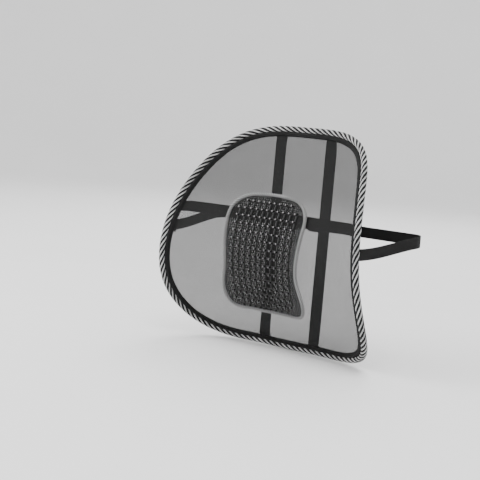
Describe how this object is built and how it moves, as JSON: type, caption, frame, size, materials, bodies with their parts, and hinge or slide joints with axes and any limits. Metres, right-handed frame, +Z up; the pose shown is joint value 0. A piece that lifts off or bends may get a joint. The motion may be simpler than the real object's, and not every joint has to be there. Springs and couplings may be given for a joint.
{
  "type": "lumbar support cushion",
  "caption": "Bowed mesh lumbar support for a chair back: rope-edged wire frame, open nubbed massage mat, tapes behind and a buckled elastic strap.",
  "frame": {"origin": "middle of the plane that the chair back holds: between the top and bottom rails of the bowed frame, halfway up, on its middle line", "axes": "+Z up, +X along the width to the viewer's right from the front, +Y from the sitter towards the chair back"},
  "size_m": [0.4718, 0.1977, 0.4098],
  "materials": {
    "spring_steel": "plain drawn spring wire",
    "zinc_sleeve": "zinc-plated crimped sleeve",
    "binding_tape": "woven polyester binding, matt black",
    "two_tone_rope": "twisted cord of black and light grey strands",
    "black_net": "fine open polyester net, black",
    "grey_cord": "finely twisted light grey cord",
    "black_vinyl": "soft moulded black vinyl, glossy",
    "black_webbing": "flat woven tape, matt black",
    "black_elastic": "woven elastic, matt black",
    "black_thread": "bonded polyester thread",
    "black_acetal": "moulded acetal, fine satin"
  },
  "bodies": {
    "root": {"frame_wire": "spring_steel", "wire_ferrule": "zinc_sleeve", "edge_binding": "binding_tape", "edge_rope": "two_tone_rope", "mesh_panel": "black_net", "mat_backing": "black_net", "massage_mat": "black_vinyl", "mat_cord": "grey_cord", "back_tape_left": "black_webbing", "back_tape_right": "black_webbing", "cross_tape": "black_webbing", "strap_left": "black_elastic", "strap_right": "black_elastic", "buckle_socket": "black_acetal", "bartack_left_tape_top": "black_thread", "bartack_left_tape_bottom": "black_thread", "bartack_right_tape_top": "black_thread", "bartack_right_tape_bottom": "black_thread", "bartack_cross_tape_left": "black_thread", "bartack_cross_tape_right": "black_thread", "bartack_strap_left": "black_thread", "bartack_strap_right": "black_thread"},
    "plug": {"buckle_plug": "black_acetal", "latch_fork": "black_acetal"},
    "slider": {"strap_slider": "black_acetal"}
  },
  "joints": [
    {"name": "buckle_release", "type": "slide", "parent": "root", "child": "plug", "axis": [1, 0, 0], "range_m": [0, 0.024], "deforming": ["latch_fork", "strap_right"]},
    {"name": "slider_travel", "type": "slide", "parent": "root", "child": "slider", "axis": [1, 0, 0], "range_m": [-0.022, 0.02]}
  ]
}
